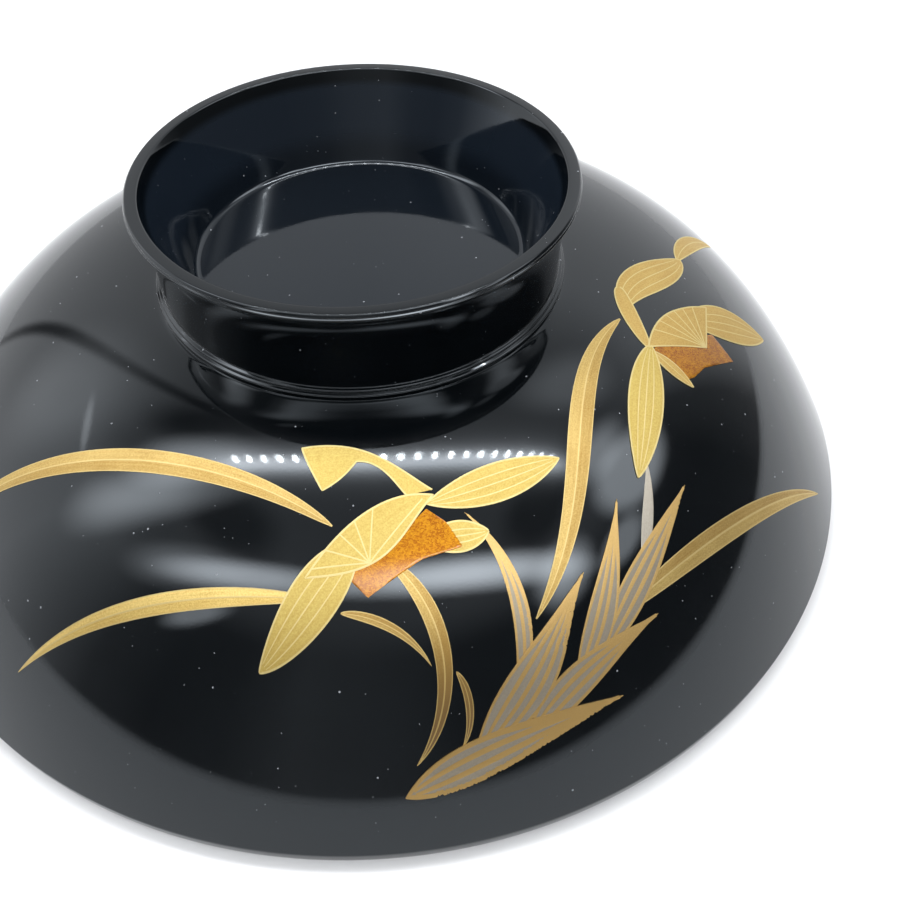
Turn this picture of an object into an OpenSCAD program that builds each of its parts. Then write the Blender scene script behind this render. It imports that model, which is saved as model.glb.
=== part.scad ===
// Lacquered cover dish of a lidded rice bowl, standing on its rim with its ring foot up.
// The origin is the centre of the rim, on the surface that the rim rests on. +Z is up.

/* [Dish] */
// Widest diameter of the dome
dish_d = 134; // [126:1:142]
// Total height, from the rim to the top of the ring foot
dish_h = 44.9; // [43:0.1:47]
// Height of the dome between its widest ring and its crown
dome_rise = 29.5; // [28:0.5:31]
// Fullness of the dome's shoulder: a larger power is squarer
dome_power = 4.1; // [3.6:0.1:4.6]
// Height of the widest ring above the rim's edge
roll_h = 2.6; // [2:0.1:3.2]
// How far the rim's edge turns back inside the widest ring
roll_in = 0.9; // [0.6:0.1:1.2]

/* [Hollow] */
// Diameter of the hollow's mouth
mouth_d = 129; // [127:0.5:130]
// Depth of the hollow
hollow_h = 28.5; // [27:0.1:28.8]
// Squareness of the hollow
hollow_power = 4.2; // [4:0.1:4.6]

/* [Ring foot] */
// Diameter of the foot's lip
foot_d = 55.5; // [54.5:0.1:57]
// Diameter of the foot's neck
neck_d = 51.3; // [50.8:0.1:52]
// Width of the flat top of the lip
lip_w = 1.2; // [1:0.1:1.3]
// Diameter of the ring's seat on the dome
seat_d = 52.6; // [52.2:0.1:53]
// Diameter of the dome's raised disc, which centres the ring
boss_d = 40; // [38:0.1:40.8]
// Diameter of the well's flat floor, inside its cove
well_d = 41; // [41:0.1:41.6]
// Height of the well's floor above the rim
well_z = 33.15; // [32.9:0.05:33.6]
// Radius of the cove between the well's floor and the ring's inner cone
cove_r = 1; // [0.5:0.1:1.5]

/* [Finish] */
// Thickness of the lacquer coats
coat_t = 0.3; // [0.2:0.05:0.35]
// Thickness of the raised painting
film_t = 0.12; // [0.08:0.01:0.2]

/* [Hidden] */

// Steps of the curves
dome_steps = 26;
hollow_steps = 24;
edge_steps = 12;
arc_step = 15;
$fn = 96;

dish_r = dish_d / 2;
mouth_r = mouth_d / 2;
foot_r = foot_d / 2;
neck_r = neck_d / 2;
seat_r = seat_d / 2;
boss_r = boss_d / 2;
well_r = well_d / 2;

// Surfaces of revolution. inset is the distance below the finished surface.
function dome_z(r, inset = 0) =
    roll_h + (dome_rise - inset) * (1 - pow(r / (dish_r - inset), dome_power));
function hollow_z(r, inset = 0) =
    (hollow_h + inset) * (1 - pow(r / (mouth_r + inset), hollow_power));
function reversed(points) = [for (i = [len(points) - 1 : -1 : 0]) points[i]];

// Dome, from the foot out to the widest ring, then down the rolled rim to its edge
function dome_line(start_r, inset = 0) = concat(
    [for (i = [0 : dome_steps])
        let (r = start_r + (dish_r - inset - start_r) * sin(90 * i / dome_steps))
        [r, dome_z(r, inset)]],
    [for (a = [30 : 30 : 90])
        [dish_r - inset - roll_in * (1 - cos(a)), roll_h * (1 - sin(a))]]);

// Hollow, from the centre out to the mouth's edge
function hollow_line(inset = 0) =
    [for (i = [0 : hollow_steps])
        let (r = (mouth_r + inset) * sin(90 * i / hollow_steps))
        [r, hollow_z(r, inset)]];

// Cove, from the well's floor up to the ring's inner cone
function cove_line(inset = 0) =
    [for (a = [0 : arc_step : 90])
        [well_r + (cove_r + inset) * sin(a), well_z + cove_r - (cove_r + inset) * cos(a)]];

// Where the ring sits on the dome, and the top of the disc inside it
seat_z = dome_z(seat_r, coat_t);
boss_z = well_z - coat_t;

// Ring foot as it is made, with square edges, from the well round the lip to its seat
crease_r = 23.6;
crease_z = 39;
flare_z = 44;
neck_z = 33;
bead_h = 0.9;
lip_edge = 0.4;
lip_in_r = foot_r - lip_edge - lip_w;
flare_power = 4;
flare_steps = 8;
function flare_line(top_r, base_r) =
    [for (i = [flare_steps : -1 : 0])
        let (u = i / flare_steps)
        [base_r + (top_r - base_r) * pow(u, flare_power),
         neck_z + (flare_z - neck_z) * u]];
bare_ring = concat(
    cove_line(coat_t),
    [[crease_r + coat_t, crease_z],
     [lip_in_r + coat_t, dish_h - coat_t],
     [foot_r - lip_edge, dish_h - coat_t],
     [foot_r - coat_t, dish_h - coat_t - lip_edge]],
    flare_line(foot_r - 2 * coat_t, neck_r - coat_t),
    [[seat_r - 2 * coat_t, neck_z - coat_t],
     [seat_r - coat_t, neck_z - bead_h],
     [seat_r, seat_z]]);

// The same ring under its lacquer, with softened edges
coated_ring = concat(
    cove_line(),
    [[crease_r, crease_z],
     [lip_in_r - lip_edge / 2, dish_h - lip_edge / 2],
     [lip_in_r, dish_h],
     [lip_in_r + lip_w, dish_h],
     [foot_r - lip_edge / 3, dish_h - lip_edge / 3],
     [foot_r, dish_h - lip_edge],
     [foot_r - lip_edge / 8, flare_z + lip_edge / 2]],
    flare_line(foot_r - lip_edge, neck_r),
    [[seat_r - coat_t, neck_z - bead_h / 4],
     [seat_r, neck_z - bead_h / 2],
     [seat_r + coat_t / 2, neck_z - bead_h]]);
foot_edge_r = seat_r + coat_t;

module dome_core() {
    color("saddlebrown")
        rotate_extrude()
            polygon(concat([[0, boss_z], [boss_r, boss_z], [boss_r, seat_z]],
                dome_line(seat_r, coat_t), reversed(hollow_line(coat_t))));
}

module foot_ring() {
    color("peru")
        rotate_extrude()
            polygon(concat([[boss_r, seat_z], [boss_r, boss_z]], bare_ring));
}

module outer_lacquer() {
    coated = concat([[0, well_z]], coated_ring, dome_line(foot_edge_r));
    bare_dome = dome_line(seat_r, coat_t);
    bare = concat([[0, boss_z]], bare_ring, [for (i = [1 : len(bare_dome) - 1]) bare_dome[i]]);
    color("black")
        rotate_extrude()
            polygon(concat(coated, reversed(bare)));
}

module inner_lacquer() {
    color("black")
        rotate_extrude()
            polygon(concat(hollow_line(), reversed(hollow_line(coat_t))));
}

// Painting. Points are in plan, seen from above, with x to the right and y away.
function bezier(p, t) =
    pow(1 - t, 3) * p[0] + 3 * pow(1 - t, 2) * t * p[1]
    + 3 * (1 - t) * t * t * p[2] + pow(t, 3) * p[3];
function bezier_slope(p, t) =
    pow(1 - t, 2) * (p[1] - p[0]) + 2 * (1 - t) * t * (p[2] - p[1]) + t * t * (p[3] - p[2]);
function curve(p) = [for (i = [0 : edge_steps]) bezier(p, i / edge_steps)];

// Half the width of a leaf at t. peak is where it is widest, and fullness rounds its ends.
function half_width(t, width, peak, fullness) =
    width / 2 * pow(sin(180 * pow(t, ln(0.5) / ln(peak))), fullness);
function leaf_edge(spine, width, peak, fullness, side) =
    [for (i = [1 : edge_steps - 1])
        let (t = i / edge_steps, d = bezier_slope(spine, t))
        bezier(spine, t)
        + side * half_width(t, width, peak, fullness) * [-d[1], d[0]] / norm(d)];
function leaf(spine, width, peak = 0.5, fullness = 0.8) = concat(
    [spine[0]], leaf_edge(spine, width, peak, fullness, 1),
    [spine[3]], reversed(leaf_edge(spine, width, peak, fullness, -1)));
function between(edge_a, edge_b) = concat(curve(edge_a), reversed(curve(edge_b)));
// A pointed shape from base to tip. Each edge has two control points of its own.
function spear(base, tip, bend_a, bend_b) =
    between(concat([base], bend_a, [tip]), concat([base], bend_b, [tip]));

// Gold leaves
far_left = leaf([[-5.5, -41.5], [-18, -31], [-36, -25.5], [-54, -25]], 2.7, 0.45, 0.75);
low_left = leaf([[-8, -48], [-20, -45.5], [-33, -43.5], [-43, -44.5]], 1.9, 0.4, 0.8);
short_left = leaf([[-5.5, -49.5], [-2.5, -50], [1.5, -51.5], [3.5, -54.5]], 0.9, 0.4, 0.7);
middle = leaf([[-0.5, -45], [5.5, -49.5], [7, -57.5], [1, -61.5]], 1.9, 0.4, 0.8);
short_middle = leaf([[6, -55], [7.5, -56.5], [7.5, -59], [6, -60.5]], 0.9, 0.4, 0.8);
tall = leaf([[31.5, -14], [21, -24], [24.5, -40], [15, -51]], 2.8, 0.45, 0.7);
right = leaf([[24.5, -50], [37, -41.5], [48, -33.5], [58.5, -26.5]], 2.1, 0.4, 0.7);

// Left flower
bract_l = concat(
    curve([[5.5, -38.5], [2, -36], [-1, -31.5], [-8.5, -32]]),
    [[-8, -34]],
    curve([[-6.5, -37.5], [-4, -36.5], [-3, -35], [-2.5, -34.5]]),
    curve([[-2.5, -34.5], [0, -34.5], [1, -37], [2.5, -39]]));
hood_l = spear([5.5, -39], [-9, -46], [[1, -38], [-4, -40.5]], [[1, -43.5], [0.5, -47]]);
side_l = leaf([[4.5, -40], [9.5, -39], [15.5, -37], [20, -35]], 4.3, 0.5, 0.8);
low_l = leaf([[-3.5, -43.5], [-7, -46.5], [-11, -51], [-14.5, -53]], 5.2, 0.4, 0.75);
small_l = leaf([[3, -44], [6, -43.5], [8.5, -43.5], [11, -43]], 3.2, 0.55, 0.7);
lip_l = [[4.5, -40.5], [6.5, -42], [8, -44.5], [3.5, -45.5], [0.5, -47], [-2.5, -48.5],
    [-4, -47], [-4.5, -45], [0, -44]];

// Right flower
bud_r = leaf([[32.5, -12], [34, -5.5], [40, -4.5], [43.5, 1]], 5.2, 0.5, 0.6);
far_r = leaf([[43, 0.5], [44.5, 4.5], [48, 9.5], [53, 14]], 2.8, 0.5, 0.7);
stem_r = leaf([[32.5, -8], [32.5, -11.5], [33, -14.5], [34.2, -18.5]], 2.3, 0.45, 0.4);
hood_r = concat(
    curve([[34, -18.5], [35, -15.5], [36.5, -13], [39, -11.2]]),
    curve([[39, -11.2], [41, -9.8], [43, -8.8], [44.8, -8.3]]),
    [[42.6, -16.3]]);
side_r = leaf([[40, -12.5], [45, -10.8], [50, -9], [54.2, -8]], 6, 0.5, 0.8);
low_r = leaf([[34.5, -18], [32.5, -24], [31, -31], [29, -36.5]], 4.4, 0.45, 0.75);
small_r = leaf([[34.4, -18.9], [35.8, -20.3], [37.2, -21.8], [39, -23.3]], 1.9, 0.5, 0.7);
lip_r = [[34.7, -18.9], [35.5, -17.3], [40, -15.5], [44.2, -13.4], [46.4, -16.7], [41.4, -19.7],
    [39.6, -21.6], [38.3, -22.4]];

// Silver blades, fanning from the foot of the plant
bottom = spear([-0.5, -63.5], [24.5, -56], [[4, -59.5], [14, -59]], [[7, -64.5], [16.5, -59.5]]);
left = spear([7, -61.5], [21, -46.5], [[9.5, -55.5], [15, -53.5]], [[19.5, -57.5], [17.5, -52]]);
slim = spear([12, -57.5], [8.5, -41], [[13, -54], [13.5, -46.5]], [[16.5, -53.5], [15, -46]]);
low_right = spear([12.5, -60.5], [29.5, -49], [[16, -54], [23, -52.5]], [[20.5, -57.5], [24.5, -52.5]]);
centre = spear([19, -55.5], [26, -39], [[19.5, -51.5], [24, -45]], [[26, -52], [25, -45.5]]);
right_blade = spear([21.5, -54], [35, -36], [[24, -47], [29.5, -42.5]], [[29, -49.5], [31.5, -42.5]]);
plain = spear([28, -46], [30.5, -34], [[28, -42], [29.5, -38.5]], [[30, -42.5], [31, -38.5]]);

// A raised film on the dome: the outline, less whatever is painted over it
film_shell = concat(
    dome_line(foot_edge_r),
    reversed(dome_line(foot_edge_r, -film_t)));
module film(outline, over = []) {
    intersection() {
        rotate_extrude()
            polygon(film_shell);
        linear_extrude(height = dish_h)
            difference() {
                polygon(outline);
                for (front = over)
                    polygon(front);
            }
    }
}

module leaf_far_left() { color("gold") film(far_left, [hood_l]); }
module leaf_low_left() { color("gold") film(low_left, [low_l]); }
module leaf_short_left() { color("gold") film(short_left, [low_l, middle]); }
module leaf_middle() { color("gold") film(middle, [lip_l, hood_l]); }
module leaf_short_middle() { color("gold") film(short_middle, [middle, bottom]); }
module leaf_tall() { color("gold") film(tall, [stem_r]); }
module leaf_right() { color("gold") film(right, [right_blade, low_right, centre]); }

module left_bract() { color("goldenrod") film(bract_l, [hood_l, side_l]); }
module left_hood() { color("goldenrod") film(hood_l); }
module left_side_petal() { color("goldenrod") film(side_l, [hood_l]); }
module left_low_petal() { color("goldenrod") film(low_l, [hood_l]); }
module left_small_petal() { color("khaki") film(small_l, [lip_l, side_l, hood_l]); }
module left_lip() { color("darkorange") film(lip_l, [hood_l, low_l, side_l]); }

module right_bud() { color("goldenrod") film(bud_r, [stem_r]); }
module right_far_petal() { color("goldenrod") film(far_r, [bud_r]); }
module right_stem() { color("goldenrod") film(stem_r, [hood_r, low_r]); }
module right_hood() { color("goldenrod") film(hood_r, [low_r]); }
module right_side_petal() { color("goldenrod") film(side_r, [hood_r, lip_r]); }
module right_low_petal() { color("goldenrod") film(low_r); }
module right_small_petal() { color("khaki") film(small_r, [low_r, hood_r]); }
module right_lip() { color("darkorange") film(lip_r, [hood_r, low_r, small_r]); }

module blade_bottom() { color("silver") film(bottom); }
module blade_left() { color("silver") film(left, [bottom]); }
module blade_slim() { color("silver") film(slim, [left, small_l]); }
module blade_low_right() { color("silver") film(low_right, [bottom, left]); }
module blade_centre() { color("silver") film(centre, [low_right, left]); }
module blade_right() { color("silver") film(right_blade, [centre, low_right, left]); }
module blade_plain() { color("silver") film(plain, [right_blade, centre, low_r]); }

dome_core();
foot_ring();
outer_lacquer();
inner_lacquer();
leaf_far_left();
leaf_low_left();
leaf_short_left();
leaf_middle();
leaf_short_middle();
leaf_tall();
leaf_right();
left_bract();
left_hood();
left_side_petal();
left_low_petal();
left_small_petal();
left_lip();
right_bud();
right_far_petal();
right_stem();
right_hood();
right_side_petal();
right_low_petal();
right_small_petal();
right_lip();
blade_bottom();
blade_left();
blade_slim();
blade_low_right();
blade_centre();
blade_right();
blade_plain();
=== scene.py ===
"""Lacquered cover dish of a rice bowl, upside down on its rim, with a painted orchid on its dome.

Shapes are worked out in millimetres and made in metres. X is right, Y is away from the camera.
"""
import math

import bmesh
import bpy
from mathutils import Euler, Matrix, Vector, noise


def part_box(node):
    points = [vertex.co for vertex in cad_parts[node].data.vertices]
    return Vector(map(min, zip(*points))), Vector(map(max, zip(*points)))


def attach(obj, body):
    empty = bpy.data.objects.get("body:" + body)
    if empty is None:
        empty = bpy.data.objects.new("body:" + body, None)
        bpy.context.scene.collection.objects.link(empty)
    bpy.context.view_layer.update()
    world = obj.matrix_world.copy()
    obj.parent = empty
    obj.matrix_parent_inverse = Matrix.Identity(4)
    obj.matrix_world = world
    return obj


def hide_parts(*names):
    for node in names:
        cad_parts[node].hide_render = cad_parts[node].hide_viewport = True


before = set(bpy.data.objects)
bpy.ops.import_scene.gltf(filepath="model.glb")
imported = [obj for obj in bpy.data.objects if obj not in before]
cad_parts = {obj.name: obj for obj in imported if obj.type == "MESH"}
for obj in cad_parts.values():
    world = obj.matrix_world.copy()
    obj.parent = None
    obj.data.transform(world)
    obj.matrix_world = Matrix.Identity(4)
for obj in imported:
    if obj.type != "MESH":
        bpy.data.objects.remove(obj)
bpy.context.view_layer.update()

MM = 0.001

# ---------------------------------------------------------------- sizes of the dish, in mm
COAT_LOW, COAT_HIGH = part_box("outer_lacquer")
DISH_R = min(-COAT_LOW.x, -COAT_LOW.y, COAT_HIGH.x, COAT_HIGH.y) / MM
DISH_H = COAT_HIGH.z / MM
COAT = (COAT_HIGH.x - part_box("dome_core")[1].x) / MM
MOUTH_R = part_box("inner_lacquer")[1].x / MM - COAT
HOLLOW_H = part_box("inner_lacquer")[1].z / MM - COAT
FOOT_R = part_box("foot_ring")[1].x / MM + COAT
SEAT_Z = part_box("foot_ring")[0].z / MM
BOSS_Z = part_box("dome_core")[1].z / MM
WELL_Z = BOSS_Z + COAT

# The rest repeats the CAD's driving dimensions
DOME_RISE = 29.5
DOME_POWER = 4.1
ROLL_H = 2.6
ROLL_IN = 0.9
HOLLOW_POWER = 4.2
BOSS_R = 20.0
WELL_R = 20.5
COVE_R = 1.0
CONE_LEAN = 67.0
NECK_R = 25.65
NECK_Z = 33.0
FLARE_Z = 43.9
FLARE_POWER = 4
SEAT_R = 26.3
CONE_MID = (23.6, 39.0)
CONE_TOP_R = FOOT_R - 2.23
CONE_TOP_Z = 43.72
MEET_R = NECK_R + 1.3

SEGMENTS = 288
DOME_STEPS = 56
HOLLOW_STEPS = 44
SHARP_WOOD = 35


# ---------------------------------------------------------------- surfaces of revolution
def bezier(p, t):
    """A point on the cubic curve with control points p."""
    weights = ((1 - t) ** 3, 3 * t * (1 - t) ** 2, 3 * t * t * (1 - t), t ** 3)
    return sum((Vector(q) * w for q, w in zip(p, weights)), Vector((0.0, 0.0)))


def dome_z(r, inset=0.0):
    """Height of the dome at radius r, inset below its finished surface."""
    return ROLL_H + (DOME_RISE - inset) * (1 - (r / (DISH_R - inset)) ** DOME_POWER)


def on_dome(x, y, height=0.0):
    """The point over plan point x, y that stands height off the dome, square to it."""
    r = math.hypot(x, y)
    slope = DOME_RISE * DOME_POWER * r ** (DOME_POWER - 1) / DISH_R ** DOME_POWER
    out = 1 + height * slope / math.hypot(slope, 1) / r
    return Vector((x * out, y * out, dome_z(r) + height / math.hypot(slope, 1)))


def hollow_z(r, inset=0.0):
    """Height of the hollow's ceiling at radius r."""
    return (HOLLOW_H + inset) * (1 - (r / (MOUTH_R + inset)) ** HOLLOW_POWER)


def dome_line(start_r, inset=0.0):
    """The dome's section, from start_r out to its widest ring."""
    span = DISH_R - inset - start_r
    radii = [start_r + span * math.sin(math.pi / 2 * i / DOME_STEPS) for i in range(DOME_STEPS + 1)]
    return [(r, dome_z(r, inset)) for r in radii]


def roll_line(inset=0.0, steps=10):
    """The rolled rim's section, from the widest ring down to its edge."""
    angles = [math.pi / 2 * i / steps for i in range(1, steps + 1)]
    return [
        (DISH_R - inset - ROLL_IN * (1 - math.cos(a)), inset + (ROLL_H - inset) * (1 - math.sin(a)))
        for a in angles
    ]


def hollow_line(inset=0.0, lowest=0.0):
    """The hollow's section, from its mouth up to the axis, no lower than lowest."""
    angles = [math.pi / 2 * i / HOLLOW_STEPS for i in range(HOLLOW_STEPS + 1)]
    radii = [(MOUTH_R + inset) * math.cos(a) for a in angles]
    return [(r, hollow_z(r, inset)) for r in radii if hollow_z(r, inset) > lowest]


def rounded(corners, steps=6):
    """A line through (r, z, cut) corners, each cut back by cut and bent smoothly."""
    line = []
    for i, (r, z, cut) in enumerate(corners):
        here = Vector((r, z))
        if not cut:
            line.append(tuple(here))
            continue
        before = here + (Vector(corners[i - 1][:2]) - here).normalized() * cut
        after = here + (Vector(corners[i + 1][:2]) - here).normalized() * cut
        for k in range(steps + 1):
            t = k / steps
            line.append(tuple(before * (1 - t) ** 2 + here * 2 * t * (1 - t) + after * t ** 2))
    return line


def flare_line(top_r, base_r, steps=24):
    """The foot's outside, from under its lip down to its neck."""
    line = []
    for i in range(steps, -1, -1):
        u = i / steps
        line.append((base_r + (top_r - base_r) * u ** FLARE_POWER, NECK_Z + (FLARE_Z - NECK_Z) * u))
    return line


def well_floor():
    """The well's flat floor, from the axis out to just inside its cove."""
    return [(r, WELL_Z) for r in (0.0, 10.0, 17.0, WELL_R - 0.2)]


def cove_line(inset=0.0, steps=10):
    """The cove from the well's floor up to where it meets the foot's inner cone."""
    reach = COVE_R + inset
    angles = [math.radians(CONE_LEAN) * i / steps for i in range(steps + 1)]
    return [(WELL_R + reach * math.sin(a), WELL_Z + COVE_R - reach * math.cos(a)) for a in angles]


def cone_line(inset=0.0, steps=12):
    """The foot's inner cone, from the cove up to the lip. It bends slowly at its middle."""
    low_r, low_z = cove_line(inset)[-1]
    middle = (CONE_MID[0] + inset, CONE_MID[1])
    high = (CONE_TOP_R + inset, CONE_TOP_Z - inset)
    rise = [i / steps for i in range(1, steps + 1)]
    curve = [bezier([(low_r, low_z), middle, middle, high], t) for t in rise]
    return [(point.x, point.y) for point in curve]


def foot_outside():
    """The lip, the flare, the neck and the two fine lines round its base."""
    lip = rounded([
        (CONE_TOP_R, CONE_TOP_Z, 0),
        (FOOT_R - 1.75, DISH_H, 0.22),
        (FOOT_R - 0.35, DISH_H, 0.1),
        (FOOT_R - 0.06, DISH_H - 0.3, 0.12),
        (FOOT_R - 0.22, DISH_H - 0.46, 0.06),
        (FOOT_R, DISH_H - 0.62, 0.08),
        (FOOT_R - 0.12, DISH_H - 0.95, 0.1),
        (FOOT_R - 0.4, FLARE_Z - 0.1, 0),
    ], 4)[1:-1]
    base = rounded([
        (NECK_R, NECK_Z, 0),
        (NECK_R + 0.02, 32.86, 0.08),
        (NECK_R + 0.42, 32.72, 0.12),
        (NECK_R + 0.46, 32.46, 0.08),
        (NECK_R + 0.34, 32.34, 0.05),
        (NECK_R + 0.72, 32.2, 0.1),
        (NECK_R + 0.78, 31.98, 0.08),
        (NECK_R + 0.7, dome_z(NECK_R + 0.7) + 0.04, 0.05),
        (MEET_R, dome_z(MEET_R), 0),
    ], 4)[1:-1]
    return lip + flare_line(FOOT_R - 0.4, NECK_R) + base


def bare_foot():
    """The wooden ring's section under its coat, from the well round the lip to its seat."""
    lip = [
        (FOOT_R - 1.6 + COAT, DISH_H - COAT),
        (FOOT_R - 0.45, DISH_H - COAT),
        (FOOT_R - COAT, DISH_H - 0.9),
    ]
    neck = [(NECK_R + 0.1, 32.5), (SEAT_R - COAT, 32.2), (SEAT_R - 0.1, SEAT_Z)]
    flare = flare_line(FOOT_R - 0.7, NECK_R - COAT)
    return cove_line(COAT) + cone_line(COAT) + lip + flare + neck


# ---------------------------------------------------------------- meshes
class Solid:
    """Collects the closed shells of one piece in millimetres, with a finish number for each face."""

    def __init__(self):
        # places are UV coordinates: across and along a painted stroke
        self.points = []
        self.places = []
        self.faces = []
        self.finishes = []

    def add(self, point, place=(0.0, 0.0)):
        """Adds a point and gives its number."""
        self.points.append(point)
        self.places.append(place)
        return len(self.points) - 1

    def face(self, corners, finish):
        """Adds a face between points, by their numbers."""
        self.faces.append(corners)
        self.finishes.append(finish)

    def tube(self, rings, finish=0):
        """A closed tube through rings of (point, place) pairs, with flat ends."""
        numbers = [[self.add(point, place) for point, place in ring] for ring in rings]
        count = len(numbers[0])
        for near, far in zip(numbers, numbers[1:]):
            for i in range(count):
                j = (i + 1) % count
                self.face([near[i], near[j], far[j], far[i]], finish)
        self.face(numbers[0][::-1], finish)
        self.face(numbers[-1], finish)

    def turn(self, section, closed=False):
        """A solid of revolution. The section is closed, or runs from the axis round to the axis."""
        rows = []
        for r, z in section:
            if r < 1e-6:
                rows.append([self.add((0.0, 0.0, z))] * SEGMENTS)
                continue
            row = []
            for k in range(SEGMENTS):
                a = 2 * math.pi * k / SEGMENTS
                row.append(self.add((r * math.cos(a), r * math.sin(a), z)))
            rows.append(row)
        pairs = list(zip(rows, rows[1:])) + ([(rows[-1], rows[0])] if closed else [])
        for near, far in pairs:
            for k in range(SEGMENTS):
                m = (k + 1) % SEGMENTS
                corners = [near[k], near[m], far[m], far[k]]
                self.face(list(dict.fromkeys(corners)), 0)

    def make(self, name, materials, sharp_over=None):
        """The Blender object, in metres, with its normals facing out."""
        mesh = bpy.data.meshes.new(name)
        mesh.from_pydata([[c * MM for c in point] for point in self.points], [], self.faces)
        for material in materials:
            mesh.materials.append(material)
        mesh.polygons.foreach_set("material_index", self.finishes)
        mesh.polygons.foreach_set("use_smooth", [True] * len(self.faces))
        layer = mesh.uv_layers.new(name="across_along")
        for loop in mesh.loops:
            layer.data[loop.index].uv = self.places[loop.vertex_index]
        if sharp_over:
            mesh.set_sharp_from_angle(angle=math.radians(sharp_over))
        mesh.validate()
        made = bpy.data.objects.new(name, mesh)
        bpy.context.scene.collection.objects.link(made)
        face_outwards(made)
        return made


def face_outwards(made):
    """Turns every shell's faces outwards."""
    work = bmesh.new()
    work.from_mesh(made.data)
    bmesh.ops.recalc_face_normals(work, faces=work.faces)
    work.to_mesh(made.data)
    work.free()


def settle(piece, slot, *nodes):
    """Puts a piece on the dish's one body, in place of its CAD nodes."""
    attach(piece, "root")
    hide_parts(*nodes)


# ---------------------------------------------------------------- node trees
def connect(tree, socket, value):
    """Links a socket to another node's socket, or sets it to a constant."""
    if isinstance(value, bpy.types.NodeSocket):
        tree.links.new(value, socket)
    else:
        socket.default_value = value


def node(tree, kind, inputs=None, **settings):
    """Adds a node. inputs maps its sockets, by name or number, to values or other nodes' sockets."""
    made = tree.nodes.new("ShaderNode" + kind)
    for name, value in settings.items():
        setattr(made, name, value)
    for key, value in (inputs or {}).items():
        connect(tree, made.inputs[key], value)
    return made


def sums(tree, operation, *values):
    """A Math node's result."""
    return node(tree, "Math", dict(enumerate(values)), operation=operation).outputs[0]


def ease(tree, value, low, high, start=0.0, end=1.0):
    """value carried smoothly from start at low to end at high, and held beyond them."""
    made = node(tree, "MapRange", {"Value": value, "From Min": low, "From Max": high,
                                   "To Min": start, "To Max": end},
                interpolation_type="SMOOTHSTEP")
    return made.outputs["Result"]


def ease_line(tree, value, low, high):
    """value carried straight from 0 at low to 1 at high."""
    return node(tree, "MapRange", {"Value": value, "From Min": low, "From Max": high}).outputs["Result"]


def fill_ramp(ramp, stops):
    """Sets a colour ramp's stops, as (place, grey level) pairs."""
    while len(ramp.elements) > 1:
        ramp.elements.remove(ramp.elements[-1])
    ramp.elements[0].position = stops[0][0]
    ramp.elements[0].color = (stops[0][1],) * 3 + (1.0,)
    for place, level in stops[1:]:
        ramp.elements.new(place).color = (level,) * 3 + (1.0,)


def blend(tree, share, first, second):
    """A colour from first at share 0 to second at share 1."""
    made = node(tree, "Mix", data_type="RGBA")
    connect(tree, made.inputs["Factor"], share)
    connect(tree, made.inputs[6], first)
    connect(tree, made.inputs[7], second)
    return made.outputs[2]


def millimetres(tree, stretch=(1.0, 1.0, 1.0)):
    """The piece's own coordinates in millimetres, stretched along each axis."""
    place = node(tree, "TexCoord").outputs["Object"]
    scale = tuple(s / MM for s in stretch)
    return node(tree, "VectorMath", {0: place, 1: scale}, operation="MULTIPLY").outputs[0]


def speckle(tree, place, size, detail=2.0, roughness=0.5):
    """Noise from 0 to 1 whose grains are size across, in the units of place."""
    made = node(tree, "TexNoise", {"Vector": place, "Scale": 1 / size, "Detail": detail,
                                   "Roughness": roughness})
    return made.outputs[0]


def across_along(tree):
    """Across a painted piece, from -1 to 1, and along it in millimetres."""
    place = node(tree, "UVMap", uv_map="across_along").outputs[0]
    split = node(tree, "SeparateXYZ", {0: place})
    return split.outputs[0], split.outputs[1]


def new_material(name, **sockets):
    """A material with its Principled shader's constant sockets set."""
    material = bpy.data.materials.new(name)
    material.use_nodes = True
    shader = material.node_tree.nodes["Principled BSDF"]
    for socket, value in sockets.items():
        shader.inputs[socket.replace("_", " ")].default_value = value
    return material, material.node_tree, shader


def bump(tree, shader, height, strength, distance_mm):
    """Gives the shader a fine relief from a height between 0 and 1."""
    made = node(tree, "Bump", {"Height": height, "Strength": strength, "Distance": distance_mm * MM})
    tree.links.new(made.outputs[0], shader.inputs["Normal"])


# ---------------------------------------------------------------- materials
def dust(tree, place, spacing, smallest, largest, share):
    """1 on specks of dust and 0 between them. Only a share of the cells has a speck."""
    cells = node(tree, "TexVoronoi", {"Vector": place, "Scale": 1 / spacing})
    random = node(tree, "SeparateColor", {0: cells.outputs["Color"]}).outputs
    size = ease(tree, random[1], 0.0, 1.0, smallest / spacing, largest / spacing)
    inside = sums(tree, "LESS_THAN", cells.outputs["Distance"], size)
    return sums(tree, "MULTIPLY", inside, sums(tree, "GREATER_THAN", random[0], 1 - share))


def any_of(tree, *masks):
    """The highest of several masks."""
    highest = masks[0]
    for mask in masks[1:]:
        highest = sums(tree, "MAXIMUM", highest, mask)
    return highest


def inside_foot_sheen(tree, place):
    """The share of a painted reflection, a pale bluish sheen: most on the foot's inner slope and 0 outside
    the foot.
    """
    x, y, z = node(tree, "SeparateXYZ", {0: place}).outputs
    flat = node(tree, "CombineXYZ", {0: x, 1: y}).outputs[0]
    reach = node(tree, "VectorMath", {0: flat}, operation="LENGTH").outputs["Value"]
    within = ease(tree, reach, NECK_R - 0.6, NECK_R - 0.1, 1.0, 0.0)
    above = sums(tree, "GREATER_THAN", z, WELL_Z - 0.1)
    higher = ease(tree, z, WELL_Z + 1.5, WELL_Z + 5.0, 0.4, 1.0)
    return sums(tree, "MULTIPLY", within, sums(tree, "MULTIPLY", above, higher))


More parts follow.
